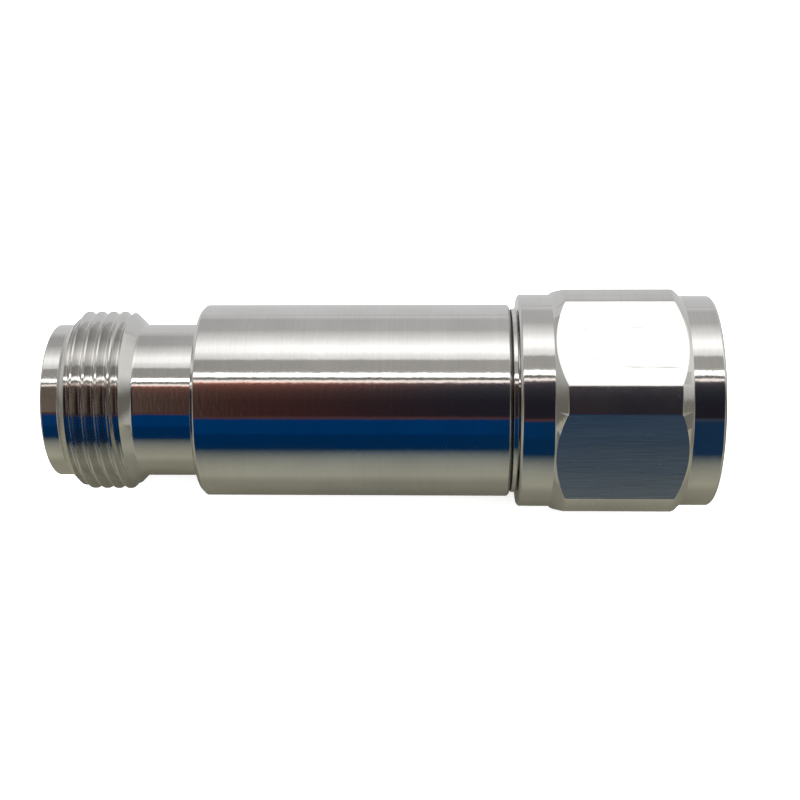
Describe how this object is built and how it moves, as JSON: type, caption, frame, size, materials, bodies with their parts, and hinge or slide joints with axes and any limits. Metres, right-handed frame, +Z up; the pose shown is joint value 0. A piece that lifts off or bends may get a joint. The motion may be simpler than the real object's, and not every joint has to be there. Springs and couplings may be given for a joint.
{
  "type": "rf attenuator",
  "caption": "Inline coaxial attenuator: round steel barrel with a threaded jack at one end and a plug with a free-turning hexagonal nut at the other, to weaken a signal in a coaxial line.",
  "frame": {"origin": "on the axis, at the centre of the part's box", "axes": "+X along the axis towards the plug and its nut, +Z up from the hexagon flat that the part lies on"},
  "size_m": [0.0576, 0.0208, 0.019],
  "materials": {
    "stainless_turned": "fine turned, semi-bright",
    "stainless_nut": "turned collars, milled flats, semi-bright",
    "gold_plate": "bright gold plate",
    "white_plate": "bright white bronze plate",
    "spring_bronze": "satin",
    "sleeve_brass": "turned",
    "white_insulator": "waxy matte",
    "film_ceramic": "matte resistive film",
    "gasket_rubber": "matte silicone"
  },
  "bodies": {
    "housing": {"barrel": "stainless_turned", "jack_shell": "stainless_turned", "jack_bead": "white_insulator", "jack_contact": "gold_plate", "jack_rod_socket": "gold_plate", "jack_rod": "film_ceramic", "junction": "gold_plate", "shunt_disc": "film_ceramic", "plug_rod": "film_ceramic", "plug_rod_socket": "gold_plate", "plug_pin": "gold_plate", "plug_bead": "white_insulator", "jack_line_sleeve": "sleeve_brass", "plug_line_sleeve": "sleeve_brass", "plug_shell": "stainless_turned", "plug_outer_contact": "white_plate", "plug_gasket": "gasket_rubber"},
    "ring": {"nut_snap_ring": "spring_bronze"},
    "nut": {"coupling_nut": "stainless_nut"}
  },
  "joints": [
    {"name": "nut_float", "type": "slide", "parent": "housing", "child": "ring", "axis": [1, 0, 0], "range_m": [-0.00006, 0.00028]},
    {"name": "nut_spin", "type": "hinge", "parent": "ring", "child": "nut", "pos_m": [0.0204, 0, 0], "axis": [1, 0, 0], "continuous": true}
  ]
}
